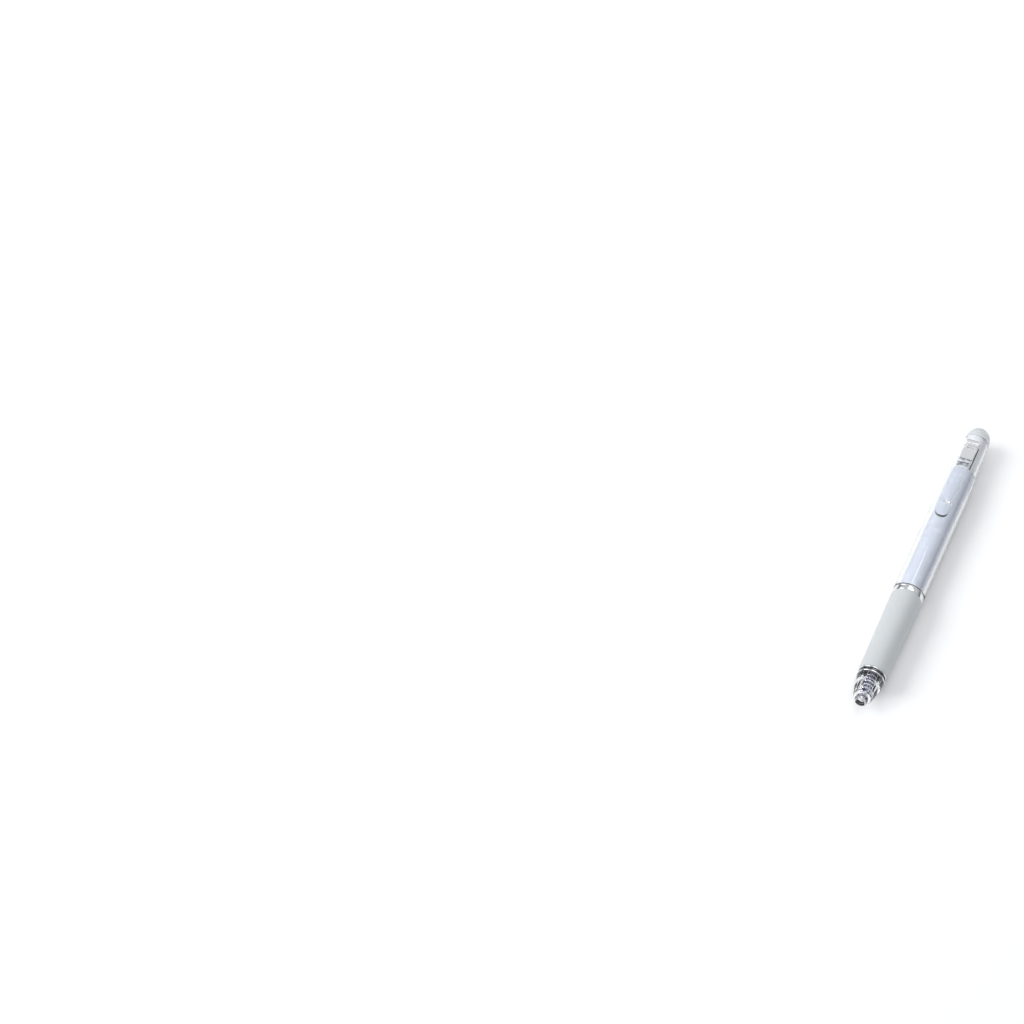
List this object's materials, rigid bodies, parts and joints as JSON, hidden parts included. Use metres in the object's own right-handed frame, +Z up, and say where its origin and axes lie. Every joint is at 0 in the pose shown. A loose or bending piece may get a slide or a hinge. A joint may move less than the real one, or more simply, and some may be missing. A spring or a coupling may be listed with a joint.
{
  "type": "gel pen",
  "caption": "Retractable gel pen with a clear nose cone, soft grip, clear barrel over a white liner, a sliding clip that works as the knock, and a frosted rounded end.",
  "frame": {"origin": "middle of the pen's length, on the plane it lies on, under its axis", "axes": "+X along the pen towards the tip, +Z up through the clip, +Y to the left seen from the rear"},
  "size_m": [0.143, 0.0118, 0.0148],
  "materials": {
    "clear_plastic": "clear, polished",
    "bright_metal": "bright plated",
    "white_plastic": "glossy, opaque",
    "soft_grip": "soft, matt",
    "frosted_plastic": "frosted, translucent",
    "grey_plastic": "moulded, satin",
    "frosted_rubber": "frosted, translucent",
    "tip_steel": "turned, bright",
    "spring_steel": "drawn wire, bright",
    "navy_plastic": "glossy, opaque",
    "refill_plastic": "clear, drawn tube",
    "gel_ink": "thick dark-blue gel",
    "grease": "clear grease"
  },
  "bodies": {
    "casing": {"grip_core": "white_plastic", "grip_sleeve": "soft_grip", "middle_ring": "bright_metal", "barrel": "clear_plastic", "barrel_liner": "white_plastic", "cam_sleeve": "frosted_plastic", "dome_collar": "frosted_plastic", "end_dome": "frosted_rubber", "return_spring": "spring_steel"},
    "nose_collar": {"front_ring": "bright_metal"},
    "nose": {"nose_cone": "clear_plastic"},
    "knock": {"knock_block": "clear_plastic", "plunger": "frosted_plastic"},
    "clip_blade": {"clip": "clear_plastic"},
    "refill": {"tip_holder": "navy_plastic", "tip_body": "tip_steel", "tip_spring": "tip_steel", "refill_tube": "refill_plastic", "ink": "gel_ink", "ink_follower": "grease", "refill_tail": "navy_plastic"},
    "cam_rotor": {"rotor": "grey_plastic"},
    "ball": {"tip_ball": "tip_steel"}
  },
  "joints": [
    {"name": "nose_travel", "type": "slide", "parent": "casing", "child": "nose_collar", "axis": [1, 0, 0], "range_m": [0, 0.003]},
    {"name": "nose_turn", "type": "hinge", "parent": "nose_collar", "child": "nose", "pos_m": [0.0605, 0, 0.0059], "axis": [1, 0, 0], "range_deg": [0, 1080]},
    {"name": "clip_knock", "type": "slide", "parent": "casing", "child": "knock", "axis": [1, 0, 0], "range_m": [0, 0.0054], "stiffness_N_per_m": 300, "springref_m": -0.004, "deforming": ["return_spring"]},
    {"name": "clip_flex", "type": "hinge", "parent": "knock", "child": "clip_blade", "pos_m": [-0.0475, 0, 0.0136], "axis": [0, -1, 0], "range_deg": [0, 5], "stiffness_Nm_per_rad": 1},
    {"name": "refill_slide", "type": "slide", "parent": "casing", "child": "refill", "axis": [1, 0, 0], "range_m": [0, 0.0054]},
    {"name": "rotor_turn", "type": "hinge", "parent": "refill", "child": "cam_rotor", "pos_m": [-0.0485, 0, 0.0059], "axis": [1, 0, 0], "range_deg": [0, 22.5]},
    {"name": "ball_roll", "type": "hinge", "parent": "refill", "child": "ball", "pos_m": [0.06965, 0, 0.0059], "axis": [0, 1, 0], "continuous": true}
  ],
  "couplings": [
    {"joint": "nose_turn", "follows": "nose_travel", "rad_per_m": 6283.2},
    {"joint": "refill_slide", "follows": "clip_knock", "ratio": 1},
    {"joint": "rotor_turn", "follows": "clip_knock", "rad_per_m": 72.72}
  ]
}
